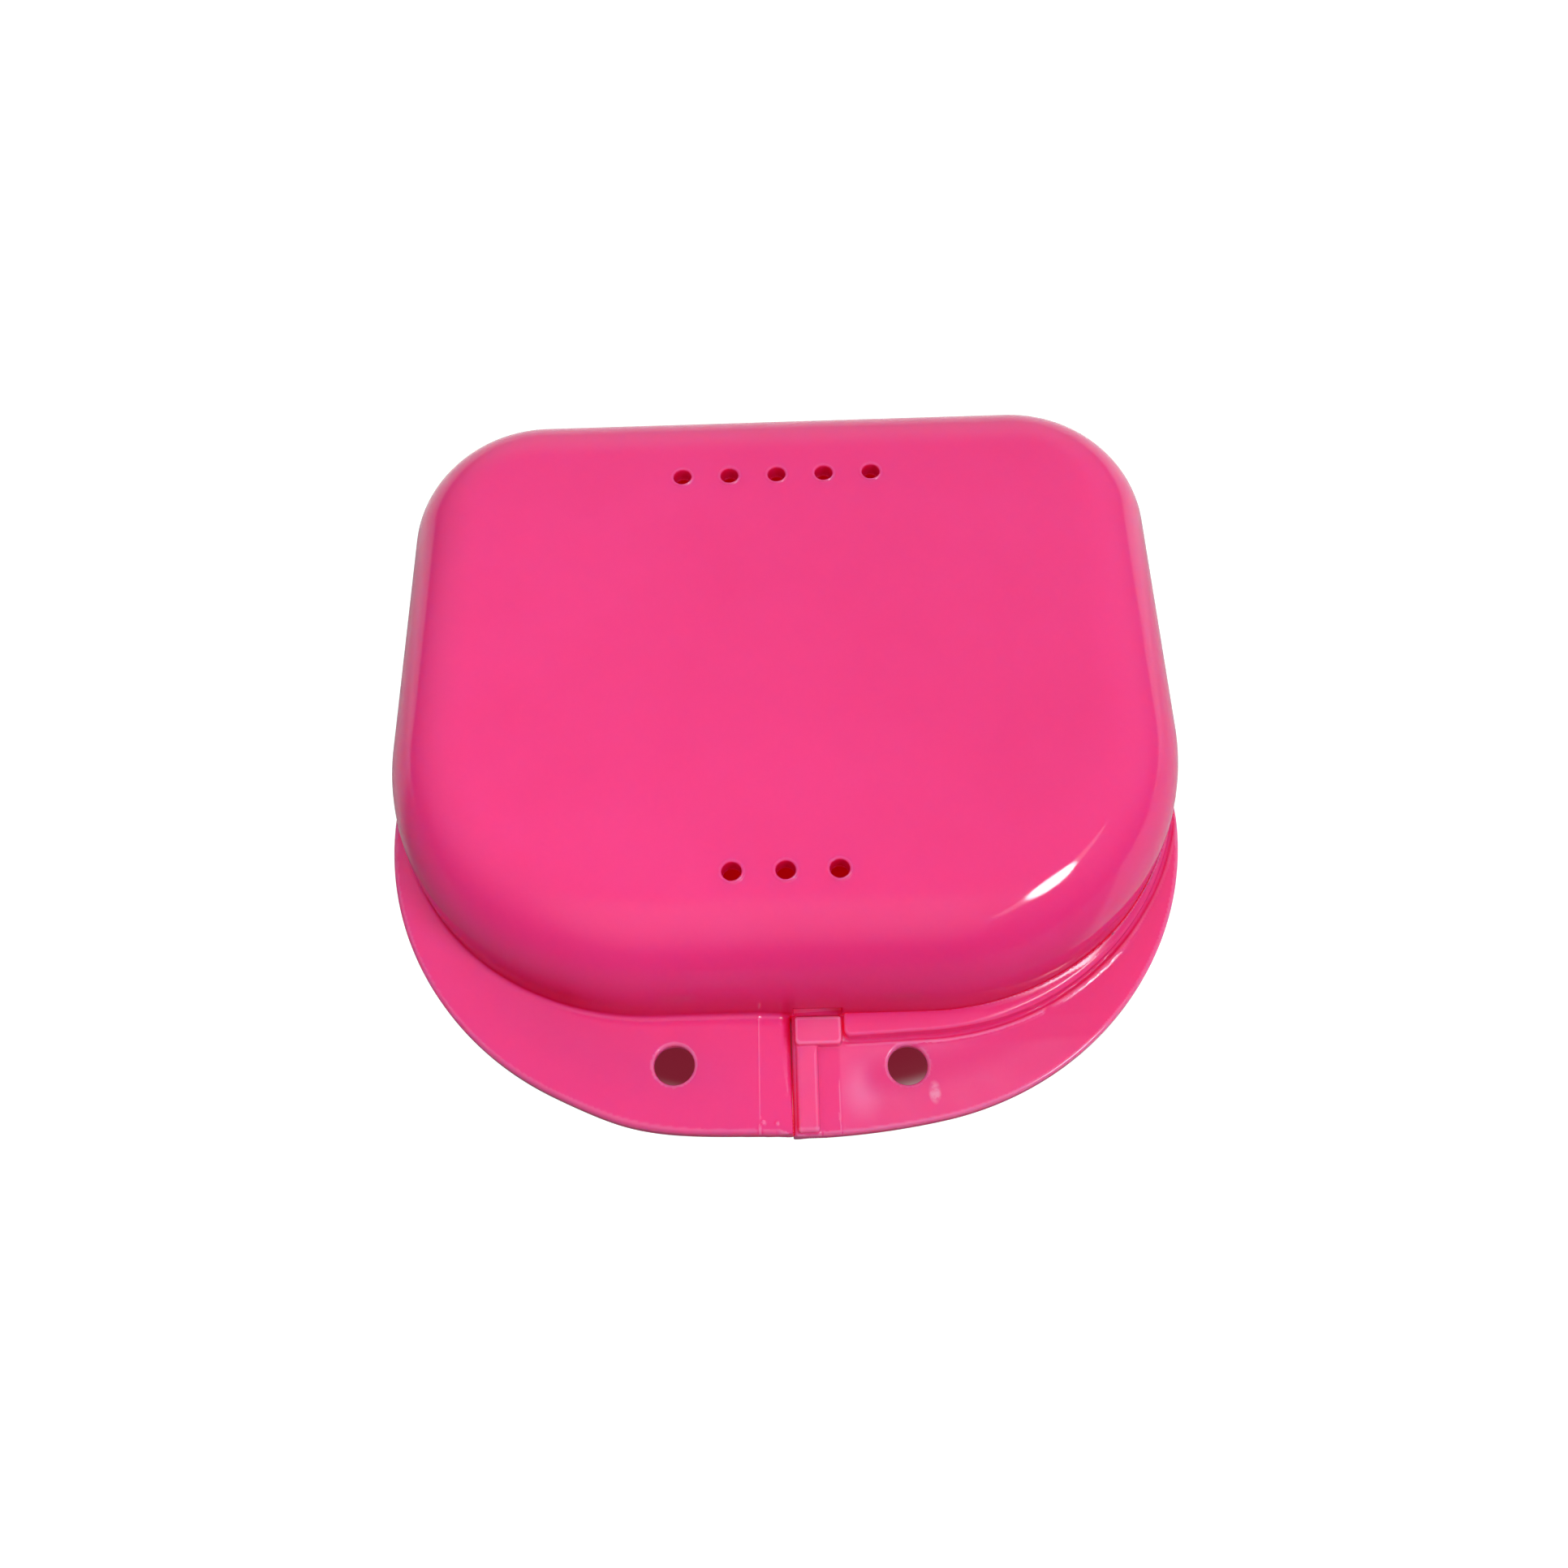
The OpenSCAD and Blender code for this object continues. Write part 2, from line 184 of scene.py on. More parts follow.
    # rib and catch block
    rib = rmax(box2(x, y, 0.45, 2.5, LIP_Y - 2, FRONT - 3.0, 0.1), edge + 0.25, 0.35)
    rib = rmax(rib, np.maximum(z - (ZP + 0.75), LIP_BOT + 1.1 - z), 0.42)
    lip = rmin(lip, rib, 0.12)
    lip = np.maximum(lip, -np.maximum(q - CATCH, RIM - z))
    block = box2(x, y, BLOCK_X0, BLOCK_X1, FRONT - 3.4, FRONT + 0.35, 0.5)
    lead = (z - (ZP + 1.25)) * 0.35 + (y - FRONT + 0.72) * 0.94
    block = rmax(block, rmax(z - (ZP + 1.25), lead, 0.3), 0.32)
    block = np.maximum(block, LIP_BOT + 1.1 - z)
    lip = rmin(lip, block, 0.12)
    hole = np.hypot(x - HOLE_X, y - HOLE_Y) - HOLE_R
    lip = rmax(lip, -hole, 0.33)
    d = rmin(tray, lip, 0.55)
    d = np.maximum(d, -np.maximum(np.maximum(out + WALL, z - 60), 9.5 - z))

    # notch for the other shell's block
    notch = box2(x, y, -BLOCK_X1 - 0.05, -BLOCK_X0 + 0.05, FRONT - 2.0, FRONT + 0.6, 0.2)
    d = rmax(d, -np.maximum(notch, ZP - 2.4 - z), 0.15)

    # hinge knuckles
    e0 = LUG_W / 2 + KN_GAP
    lug = knuckle(x, y, z, -HINGE_X - LUG_W / 2, -HINGE_X + LUG_W / 2)
    ear = np.minimum(knuckle(x, y, z, HINGE_X - e0 - EAR_W, HINGE_X - e0),
                     knuckle(x, y, z, HINGE_X + e0, HINGE_X + e0 + EAR_W))
    d = rmin(d, np.minimum(lug, ear), 0.3)
    rod = np.hypot(y - HINGE_Y, z - ZP)
    d = rmax(d, -np.maximum(rod - PIN_R, np.abs(x + HINGE_X) - 6.0), 0.1)
    d = rmax(d, -np.maximum(rod - PIN_R - PIN_CLEAR, np.abs(x - HINGE_X) - 9.0), 0.1)
    return d


# ------------------------------------------------------------------ surface of the field on a stretched grid
def lines(lo, hi, bands, coarse=0.6):
    """Grid lines from lo to hi: each band (start, end, spacing) is fine, with an even ramp to coarse between them."""
    out, v = [lo], lo
    while v < hi:
        v += min([coarse] + [w + 0.3 * max(b0 - v, v - b1, 0.0) for b0, b1, w in bands])
        out.append(v)
    return np.array(out)


def grad(fun, p, h):
    g = np.empty_like(p)
    for ax in range(3):
        e = np.zeros(3)
        e[ax] = h
        hi, lo = p + e, p - e
        g[:, ax] = (fun(hi[:, 0], hi[:, 1], hi[:, 2]) - fun(lo[:, 0], lo[:, 1], lo[:, 2])) / (2 * h)
    return g


def field_mesh(fun, xs, ys, zs):
    f = fun(xs[:, None, None], ys[None, :, None], zs[None, None, :])
    f = np.ascontiguousarray(f)
    ins = f < 0
    c = ins[:-1, :-1, :-1].astype(np.int8)
    for i, j, k in ((1, 0, 0), (0, 1, 0), (1, 1, 0), (0, 0, 1), (1, 0, 1), (0, 1, 1), (1, 1, 1)):
        c = c + ins[i:ins.shape[0] - 1 + i, j:ins.shape[1] - 1 + j, k:ins.shape[2] - 1 + k]
    act = (c > 0) & (c < 8)
    ci, cj, ck = np.nonzero(act)
    index = np.full(act.shape, -1, np.int64)
    index[ci, cj, ck] = np.arange(len(ci))
    acc = np.zeros((len(ci), 3))
    cnt = np.zeros(len(ci))
    corners = [(i, j, k) for i in (0, 1) for j in (0, 1) for k in (0, 1)]
    val = {o: f[ci + o[0], cj + o[1], ck + o[2]] for o in corners}
    pos = {o: np.stack([xs[ci + o[0]], ys[cj + o[1]], zs[ck + o[2]]], 1) for o in corners}
    for o in corners:
        for ax in range(3):
            if o[ax]:
                continue
            p = tuple(1 if n == ax else o[n] for n in range(3))
            m = (val[o] < 0) != (val[p] < 0)
            t = val[o][m] / (val[o][m] - val[p][m])
            acc[m] += pos[o][m] + (pos[p][m] - pos[o][m]) * t[:, None]
            cnt[m] += 1
    verts = acc / cnt[:, None]
    size = np.stack([xs[ci + 1] - xs[ci], ys[cj + 1] - ys[cj], zs[ck + 1] - zs[ck]], 1)
    quads = []
    n = ins.shape
    for ax in range(3):
        u, w = (ax + 1) % 3, (ax + 2) % 3
        sl0 = [slice(None)] * 3
        sl1 = [slice(None)] * 3
        sl0[ax], sl1[ax] = slice(0, n[ax] - 1), slice(1, n[ax])
        ch = ins[tuple(sl0)] != ins[tuple(sl1)]
        g = np.stack(np.nonzero(ch), 1)
        g = g[(g[:, u] > 0) & (g[:, u] < n[u] - 1) & (g[:, w] > 0) & (g[:, w] < n[w] - 1)]
        first = ins[g[:, 0], g[:, 1], g[:, 2]]
        ring = []
        for du, dw in ((-1, -1), (0, -1), (0, 0), (-1, 0)):
            h = g.copy()
            h[:, u] += du
            h[:, w] += dw
            ring.append(index[h[:, 0], h[:, 1], h[:, 2]])
        ring = np.stack(ring, 1)
        ring[~first] = ring[~first][:, ::-1]
        quads.append(ring)
    quads = np.concatenate(quads)

    start = verts.copy()
    for _ in range(5):
        g = grad(fun, verts, 0.01)
        d = fun(verts[:, 0], verts[:, 1], verts[:, 2])
        stepv = -g * (d / np.maximum((g * g).sum(1), 0.2))[:, None]
        verts = start + np.clip(verts + stepv - start, -0.75 * size, 0.75 * size)
    return verts, quads


def thin_out(fun, verts, quads, keep):
    """Leaves fewer faces where the surface is flat or gently curved, then sets the corners back on the surface."""
    me = bpy.data.meshes.new("work")
    me.from_pydata(verts.tolist(), [], quads.tolist())
    ob = bpy.data.objects.new("work", me)
    bpy.context.scene.collection.objects.link(ob)
    mod = ob.modifiers.new("thin", "DECIMATE")
    mod.ratio = keep
    thin = bpy.data.meshes.new_from_object(ob.evaluated_get(bpy.context.evaluated_depsgraph_get()))
    v = np.empty(len(thin.vertices) * 3, np.float32)
    thin.vertices.foreach_get("co", v)
    v = v.reshape(-1, 3).astype(float)
    f = [list(p.vertices) for p in thin.polygons]
    bpy.data.objects.remove(ob)
    bpy.data.meshes.remove(me)
    bpy.data.meshes.remove(thin)
    for _ in range(2):
        g = grad(fun, v, 0.01)
        d = fun(v[:, 0], v[:, 1], v[:, 2])
        v = v - np.clip(g * (d / np.maximum((g * g).sum(1), 0.2))[:, None], -0.03, 0.03)
    n = grad(fun, v, 0.02)
    n /= np.maximum(np.linalg.norm(n, axis=1), 1e-9)[:, None]
    return v, f, n


def bend_of(fun, p, h):
    """Sum of the two curvatures at points on the surface, positive on outside edges."""
    total = -6 * fun(p[:, 0], p[:, 1], p[:, 2])
    for ax in range(3):
        for s in (-h, h):
            e = np.zeros(3)
            e[ax] = s
            t = p + e
            total = total + fun(t[:, 0], t[:, 1], t[:, 2])
    return total / (h * h)


def mesh_object(name, verts, faces, normals, mats, edge_highlight_paint):
    me = bpy.data.meshes.new(name)
    me.from_pydata((verts * MM).tolist(), [], faces)
    me.polygons.foreach_set("use_smooth", np.ones(len(me.polygons), bool))
    me.update(calc_edges=True)
    me.normals_split_custom_set_from_vertices(normals.astype(np.float32))
    # painted edge highlight, kept per face corner
    me.attributes.new("edge", "FLOAT", "CORNER").data.foreach_set("value", edge_highlight_paint.astype(np.float32))
    for m in mats:
        me.materials.append(m)
    ob = bpy.data.objects.new(name, me)
    bpy.context.scene.collection.objects.link(ob)
    return ob


# ------------------------------------------------------------------ materials
def nodes_of(mat):
    mat.use_nodes = True
    nt = mat.node_tree
    nt.nodes.clear()
    return nt, nt.nodes, nt.links


def plastic(name, base, deep, rough=0.07, lip=0, painted_inner_glow=0.0):
    """Glossy pigmented plastic; lip is +1 or -1 on the half whose inner lip face gets a painted sheen, painted
    highlight spots and a slightly rougher finish; with lip set, outside edges also get a painted highlight, corners
    and gaps a painted deep red shade, and the tightest gaps a painted red glow.
    """
    mat = bpy.data.materials.new(name)
    nt, N, L = nodes_of(mat)

    def math_(op, a, b=None, c=None):
        n = N.new("ShaderNodeMath")
        n.operation = op
        for k, v in enumerate((a, b, c)):
            if isinstance(v, (int, float)):
                n.inputs[k].default_value = v
            elif v is not None:
                L.new(v, n.inputs[k])
        return n.outputs[0]

    def range_(v, f0, f1, t0, t1, smooth=True):
        n = N.new("ShaderNodeMapRange")
        if smooth:
            n.interpolation_type = "SMOOTHSTEP"
        for k, w in (("From Min", f0), ("From Max", f1), ("To Min", t0), ("To Max", t1)):
            if isinstance(w, (int, float)):
                n.inputs[k].default_value = w
            else:
                L.new(w, n.inputs[k])
        L.new(v, n.inputs["Value"])
        return n.outputs["Result"]

    def noise(scale, detail, roughness=0.5):
        n = N.new("ShaderNodeTexNoise")
        n.inputs["Scale"].default_value = scale
        n.inputs["Detail"].default_value = detail
        n.inputs["Roughness"].default_value = roughness
        L.new(tc.outputs["Object"], n.inputs["Vector"])
        return n.outputs["Fac"]

    def mix_(fac, a, b):
        n = N.new("ShaderNodeMix")
        n.data_type = "RGBA"
        for k, v in ((6, a), (7, b)):
            if isinstance(v, tuple):
                n.inputs[k].default_value = (*v, 1)
            else:
                L.new(v, n.inputs[k])
        L.new(fac, n.inputs[0])
        return n.outputs[2]

    out = N.new("ShaderNodeOutputMaterial")
    bs = N.new("ShaderNodeBsdfPrincipled")
    L.new(bs.outputs[0], out.inputs[0])
    tc = N.new("ShaderNodeTexCoord")
    # slow, faint colour drift of the moulded pigment
    colour = mix_(range_(noise(38.0, 3.0, 0.55), 0.35, 0.68, 0.0, 1.0, False), base, deep)
    # polish: slight unevenness
    polish = range_(noise(900.0, 4.0), 0.3, 0.75, rough - 0.02, rough + 0.03, False)
    if lip:
        # painted sheen: a paler zone on the inner lip face near the split stands in for a soft highlight; the finish
        # there is also a little rougher
        sep = N.new("ShaderNodeSeparateXYZ")
        L.new(tc.outputs["Object"], sep.inputs[0])
        sx = math_("MULTIPLY", sep.outputs["X"], lip)
        fx = range_(sx, 0.034, 0.020, 0.0, 1.0)
        fy = range_(sep.outputs["Y"], (FRONT - 0.45) * MM, (FRONT - 0.9) * MM, 0.0, 1.0)
        fz = range_(math_("MULTIPLY_ADD", sep.outputs["Z"], lip, 0.0 if lip > 0 else 2 * ZP * MM), 0.0122, 0.0126, 0.0, 1.0)
        painted_sheen = math_("MULTIPLY", math_("MULTIPLY", fx, fy), fz)
        painted_sheen = math_("MULTIPLY", painted_sheen, range_(noise(210.0, 3.0), 0.3, 0.7, 0.7, 1.0))
        # the painted sheen is less on the ridge and on the strip beside the rib
        off = math_("MAXIMUM", range_(sx, 0.0049, 0.0053, 1.0, 0.0), range_(sep.outputs["Y"], (FRONT - 3.6) * MM, (FRONT - 2.6) * MM, 1.0, 0.25))
        strip = math_("MULTIPLY", range_(sx, 0.0024, 0.0027, 0.0, 1.0), range_(sx, 0.0044, 0.0048, 1.0, 0.0))
        strip = math_("MULTIPLY", strip, range_(sep.outputs["Y"], (FRONT - 3.7) * MM, (FRONT - 3.3) * MM, 0.8, 0.0))
        painted_sheen = math_("MULTIPLY", math_("MULTIPLY", painted_sheen, off), math_("SUBTRACT", 1.0, strip))
        # paler colour of the painted sheen
        colour = mix_(painted_sheen, colour, (0.90, 0.090, 0.305))
        polish = math_("MULTIPLY_ADD", painted_sheen, 0.12, polish)
        # painted highlights in the scoop: a broad pale patch and a short pale spot
        wx, wy = math_("DIVIDE", math_("SUBTRACT", sx, 0.0066), 0.0024), math_("DIVIDE", math_("ADD", sep.outputs["Y"], 0.0378), 0.0034)
        painted_scoop_highlight = math_("SQRT", math_("ADD", math_("MULTIPLY", wx, wx), math_("MULTIPLY", wy, wy)))
        painted_scoop_highlight = math_("MULTIPLY", range_(painted_scoop_highlight, 1.1, 0.1, 0.0, 0.75), fz)
        colour = mix_(painted_scoop_highlight, colour, (0.96, 0.19, 0.44))
        ux, uy = math_("DIVIDE", math_("SUBTRACT", sx, 0.0135), 0.0006), math_("DIVIDE", math_("ADD", sep.outputs["Y"], 0.0380), 0.0012)
        painted_spot_highlight = math_("ADD", math_("MULTIPLY", ux, ux), math_("MULTIPLY", uy, uy))
        painted_spot_highlight = math_("MULTIPLY", math_("MULTIPLY", range_(painted_spot_highlight, 1.3, 0.1, 0.0, 0.9), fz), range_(noise(1500.0, 2.0), 0.35, 0.6, 0.3, 1.0))
        colour = mix_(painted_spot_highlight, colour, (0.97, 0.36, 0.56))
        # the ridge round the corner has a satin finish
        rz = range_(math_("MULTIPLY_ADD", sep.outputs["Z"], lip, 0.0 if lip > 0 else 2 * ZP * MM), 0.0132, 0.0134, 0.0, 1.0)
        rx = range_(sx, 0.016, 0.021, 0.0, 1.0)
        polish = math_("MULTIPLY_ADD", math_("MULTIPLY", rz, rx), 0.15, polish)
    if lip:
        # painted highlight: outside edges are painted paler than the faces, as if catching the light
        thin = N.new("ShaderNodeAttribute")
        thin.attribute_name = "edge"
        colour = mix_(math_("MULTIPLY", thin.outputs["Fac"], 0.65), colour, (0.94, 0.24, 0.47))
        # painted shade: where plastic faces plastic, in corners, creases and gaps and at the foot of the walls above
        # the lip, the colour is darkened to deep red and the gloss lowered
        shut = N.new("ShaderNodeAmbientOcclusion")
        shut.samples = 4
        shut.inputs["Distance"].default_value = 0.016
        nz = N.new("ShaderNodeSeparateXYZ")
        L.new(tc.outputs["Normal"], nz.inputs[0])
        upright = range_(math_("ABSOLUTE", nz.outputs["Z"]), 0.85, 0.35, 0.0, 1.0)
        clear = range_(math_("SUBTRACT", sep.outputs["Z"], ZP * MM), 0.0006, 0.0014, 0.0, 1.0)
        # the painted shade reaches further towards the left, away from the key light
        shade_more_to_left = range_(sep.outputs["X"], -0.010, -0.026, 0.45, 0.84)
        painted_foot_shade = math_("MULTIPLY", math_("MULTIPLY", range_(shut.outputs["AO"], 1.0, shade_more_to_left, 0.0, 1.0, False), upright), clear)
        tight = N.new("ShaderNodeAmbientOcclusion")
        tight.samples = 3
        tight.inputs["Distance"].default_value = 0.0012
        crevice_glow_painted = range_(tight.outputs["AO"], 0.24, 0.05, 0.0, 1.0)
        some = range_(sep.outputs["X"], 0.0048, 0.0070, 0.55, 0.22)
        shade = math_("MAXIMUM", painted_foot_shade, math_("MULTIPLY", range_(tight.outputs["AO"], 0.62, 0.16, 0.0, 1.0), some))
        # painted shade along the split of the lip, widest at the wall
        run = range_(sep.outputs["Y"], (FRONT - 0.5) * MM, (LIP_Y + 0.3) * MM, 0.0, 1.0, False)
        mid = math_("ABSOLUTE", math_("SUBTRACT", sep.outputs["X"], math_("MULTIPLY_ADD", run, 0.0003, -0.00035)))
        wide = math_("MULTIPLY_ADD", run, -0.00042, 0.00080)
        painted_seam_shade = math_("MULTIPLY", range_(mid, wide, math_("MULTIPLY", wide, 0.45), 0.0, 1.0), range_(sep.outputs["Y"], (FRONT + 0.4) * MM, (FRONT - 0.3) * MM, 0.0, 1.0))
        shade = math_("MAXIMUM", shade, math_("MULTIPLY", painted_seam_shade, range_(tight.outputs["AO"], 0.99, 0.75, 0.0, 1.0)))
        painted_shade_tint = N.new("ShaderNodeMix")
        painted_shade_tint.data_type = "RGBA"
        painted_shade_tint.blend_type = "MULTIPLY"
        L.new(shade, painted_shade_tint.inputs[0])
        L.new(colour, painted_shade_tint.inputs[6])
        painted_shade_tint.inputs[7].default_value = (0.78, 0.04, 0.23, 1)
        colour = painted_shade_tint.outputs[2]
        L.new(range_(shade, 0.0, 1.0, 0.5, 0.1, False), bs.inputs["Specular IOR Level"])
        # painted glow: red emission in the tightest gaps, most near the split and none towards the back, stands in
        # for light coming through the plastic
        bs.inputs["Emission Color"].default_value = (1.0, 0.0, 0.03, 1)
        crevice_glow_amount = range_(math_("ABSOLUTE", sep.outputs["X"]), 0.0050, 0.0060, 0.30, 0.15)
        crevice_glow_amount = math_("MULTIPLY", crevice_glow_amount, range_(sep.outputs["Y"], (FRONT + 30.0) * MM, (FRONT + 25.0) * MM, 0.0, 1.0))
        L.new(math_("MULTIPLY", crevice_glow_painted, crevice_glow_amount), bs.inputs["Emission Strength"])
    L.new(colour, bs.inputs["Base Color"])
    L.new(polish, bs.inputs["Roughness"])
    # moulding waviness, too shallow to see except in the highlights
    bump = N.new("ShaderNodeBump")
    bump.inputs["Strength"].default_value = 0.06
    bump.inputs["Distance"].default_value = 0.0002
    L.new(noise(260.0, 2.0), bump.inputs["Height"])
    L.new(bump.outputs["Normal"], bs.inputs["Normal"])
    bs.inputs["IOR"].default_value = 1.5
    # the pigmented plastic lets red light through its thin walls
    bs.inputs["Subsurface Weight"].default_value = 1.0
    bs.inputs["Subsurface Radius"].default_value = (1.0, 0.07, 0.13)
    bs.inputs["Subsurface Scale"].default_value = 0.002
    if painted_inner_glow:
        # painted glow: constant red emission
        bs.inputs["Emission Color"].default_value = (1.0, 0.0, 0.012, 1)
        bs.inputs["Emission Strength"].default_value = painted_inner_glow
    return mat


PINK, PINK_DEEP = (0.87, 0.044, 0.26), (0.84, 0.038, 0.24)
base_mat = plastic("pink_plastic_base", PINK, PINK_DEEP, lip=1)
lid_mat = plastic("pink_plastic_lid", PINK, PINK_DEEP, lip=-1)
# hollow side: a painted glow, a faint red emission standing in for daylight that comes through the walls
inner_mat = plastic("pink_plastic_inside", PINK, PINK_DEEP, rough=0.12, painted_inner_glow=0.075)
pin_mat = plastic("pink_plastic_pin", (0.84, 0.036, 0.22), (0.79, 0.03, 0.2), 0.3)

# ------------------------------------------------------------------ shells
xs = lines(-40.7, 40.7, [(-40.7, -37.8, 0.26), (-0.2, 5.6, 0.12), (5.6, 40.7, 0.2)] + [((i - 2) * VENT_P - 1.4, (i - 2) * VENT_P + 1.4, 0.11) for i in range(5)])
ys = lines(LIP_Y - 0.5, HINGE_Y + KN_R + 0.5, [(LIP_Y - 0.5, FRONT - 4.2, 0.19), (FRONT - 4.2, FRONT + 1.0, 0.12), (FRONT + 1.0, FRONT + 20.0, 0.22), (FRONT + 8.2, FRONT + 11.0, 0.11), (BACK - 13.4, BACK - 10.6, 0.11), (BACK - 2.0, HINGE_Y + KN_R + 0.5, 0.24)])
zs = lines(-0.6, ZP + 2.6, [(-0.6, 0.3, 0.24), (1.5, 2.2, 0.24), (LIP_BOT - 0.6, ZP + 1.5, 0.12)])
V, Q = field_mesh(shell, xs, ys, zs)
V, Q, NRM = thin_out(shell, V, Q, 0.28)
turn = np.array([-1.0, 1.0, -1.0])
VL = V * turn + np.array([0, 0, 2 * ZP])
# the lid's lip stands out a little further than the base's
VL[:, 1] -= 0.6 * np.exp(-((VL[:, 0] + 14.5) / 8.0) ** 2) * step(FRONT - 7.6, LIP_Y + 0.5, VL[:, 1])
# painted edge highlight: paler on outside edges, from the surface's curvature; round each vent it is painted on the
# side towards the key light
PAINTED_EDGE_HIGHLIGHT = np.clip((bend_of(shell, V, 0.1) - 1.0) / 2.2, 0, 1)
for vx, vy in VENTS:
    out_of = np.hypot(V[:, 0] - vx, V[:, 1] - vy)
    side = np.clip(-(0.62 * (V[:, 0] - vx) + 0.78 * (V[:, 1] - vy)) / (out_of + 0.05), 0, 1)
    PAINTED_EDGE_HIGHLIGHT = np.where((out_of < VENT_R + 0.8) & (V[:, 2] < 2.5), np.maximum(0.15 * PAINTED_EDGE_HIGHLIGHT, side ** 6 * np.exp(-((out_of - VENT_R - 0.16) / 0.14) ** 2)), PAINTED_EDGE_HIGHLIGHT)
# no painted edge highlight round the notch and along the split, little on the front of the ridge
PAINTED_EDGE_HIGHLIGHT *= np.where((V[:, 0] < 0.42) & (V[:, 0] > -0.1) & (V[:, 1] < FRONT), 0.0, 1.0)
PAINTED_EDGE_HIGHLIGHT *= np.where((V[:, 0] < 0.1) & (V[:, 0] > -6.0) & (V[:, 1] > FRONT - 2.4) & (V[:, 1] < FRONT + 2.0), 0.0, 1.0)
PAINTED_EDGE_HIGHLIGHT *= np.where((V[:, 0] > BLOCK_X1 + 0.1) & (V[:, 1] > FRONT - 3.3) & (V[:, 2] > ZP + 0.2), 0.3 + 0.7 * step(16.0, 22.0, V[:, 0]), 1.0)
# per face corner, so that a long flat face beside an edge stays plain
count = np.array([len(f) for f in Q])
flat = np.concatenate(Q)
first = np.cumsum(count) - count
after = np.arange(len(flat)) + 1
after[first + count - 1] = first
longest = np.maximum.reduceat(np.linalg.norm(V[flat[after]] - V[flat], axis=1), first)
lowest = np.minimum.reduceat(PAINTED_EDGE_HIGHLIGHT[flat], first)
PAINTED_EDGE_HIGHLIGHT = np.where(np.repeat(longest > 0.45, count), np.repeat(lowest, count), PAINTED_EDGE_HIGHLIGHT[flat])
base_ob = mesh_object("base_shell", V, Q, NRM, [base_mat, inner_mat], PAINTED_EDGE_HIGHLIGHT)
lid_ob = mesh_object("lid_shell", VL, Q, NRM * turn, [lid_mat, inner_mat], PAINTED_EDGE_HIGHLIGHT)
mid = np.array([V[f].mean(0) for f in Q])
pq = plan(mid[:, 0], mid[:, 1])
pa, pb = pq + EDGE, EDGE - mid[:, 2]
hollow = np.hypot(np.maximum(pa, 0), np.maximum(pb, 0)) + np.minimum(np.maximum(pa, pb), 0) - EDGE < -0.75 * WALL
for ob in (base_ob, lid_ob):
    ob.data.polygons.foreach_set("material_index", hollow.astype(np.int32))
for ob, body, node, slot in ((base_ob, "base", "base", "shell_base"), (lid_ob, "lid", "lid", "shell_lid")):
    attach(ob, body)
    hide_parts(node)
for n in ("hinge_pin_left", "hinge_pin_right"):
    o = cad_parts[n]
    if not o.material_slots:
        o.data.materials.append(pin_mat)
    for s in o.material_slots:
        s.material = pin_mat

# ------------------------------------------------------------------ floor
me = bpy.data.meshes.new("floor")
me.from_pydata([(-3, -3, 0), (3, -3, 0), (3, 3, 0), (-3, 3, 0)], [], [(0, 1, 2, 3)])
floor = bpy.data.objects.new("floor", me)
bpy.context.scene.collection.objects.link(floor)
floor.location.z = -0.00005
fm = bpy.data.materials.new("floor_white")
nt, N, L = nodes_of(fm)
# pale sweep: white to the eye away from the case, with its own shading near it; under the case a painted shadow: deep
# red emission, and the floor made nearly black to light; what it throws back at the case falls off towards the front
# left
o_ = N.new("ShaderNodeOutputMaterial")
path = N.new("ShaderNodeLightPath")
pick = N.new("ShaderNodeMixShader")
L.new(path.outputs["Is Camera Ray"], pick.inputs[0])
L.new(pick.outputs[0], o_.inputs[0])
geo = N.new("ShaderNodeNewGeometry")
sep = N.new("ShaderNodeSeparateXYZ")
L.new(geo.outputs["Position"], sep.inputs[0])


def floor_math(op, a, b=None):
    n = N.new("ShaderNodeMath")
    n.operation = op
    for k, v in enumerate((a, b)):
        if v is None:
            continue
        if isinstance(v, (int, float)):
            n.inputs[k].default_value = v
        else:
            L.new(v, n.inputs[k])
    return n.outputs[0]


def floor_range(v, f0, f1, t0, t1):
    n = N.new("ShaderNodeMapRange")
    n.interpolation_type = "SMOOTHSTEP"
    for k, w in (("From Min", f0), ("From Max", f1), ("To Min", t0), ("To Max", t1)):
        n.inputs[k].default_value = w
    L.new(v, n.inputs["Value"])
    return n.outputs["Result"]


grey = N.new("ShaderNodeBsdfDiffuse")
ahead = floor_math("ADD", floor_math("MULTIPLY", sep.outputs["X"], -0.6), floor_math("MULTIPLY", sep.outputs["Y"], -0.8))
level = N.new("ShaderNodeMix")
level.data_type = "FLOAT"
L.new(path.outputs["Is Glossy Ray"], level.inputs[0])
L.new(floor_range(ahead, 0.012, 0.040, 0.65, 0.14), level.inputs[2])
shift = floor_math("ADD", sep.outputs["Y"], floor_math("MULTIPLY", sep.outputs["X"], 0.3))
L.new(floor_math("ADD", floor_range(shift, -0.018, -0.030, 0.60, 0.20), floor_range(sep.outputs["Y"], 0.036, 0.056, 0.0, 0.35)), level.inputs[3])
L.new(level.outputs[0], grey.inputs["Color"])
L.new(grey.outputs[0], pick.inputs[1])
both = N.new("ShaderNodeAddShader")
L.new(both.outputs[0], pick.inputs[2])
pale = N.new("ShaderNodeBsdfDiffuse")
L.new(pale.outputs[0], both.inputs[0])
px = floor_math("POWER", floor_math("ABSOLUTE", floor_math("DIVIDE", sep.outputs["X"], 0.0402)), 2.6)
py = floor_math("POWER", floor_math("ABSOLUTE", floor_math("DIVIDE", floor_math("ADD", sep.outputs["Y"], 0.002), 0.040)), 2.6)
cover = floor_math("POWER", floor_math("ADD", px, py), 1 / 2.6)
glow = N.new("ShaderNodeEmission")
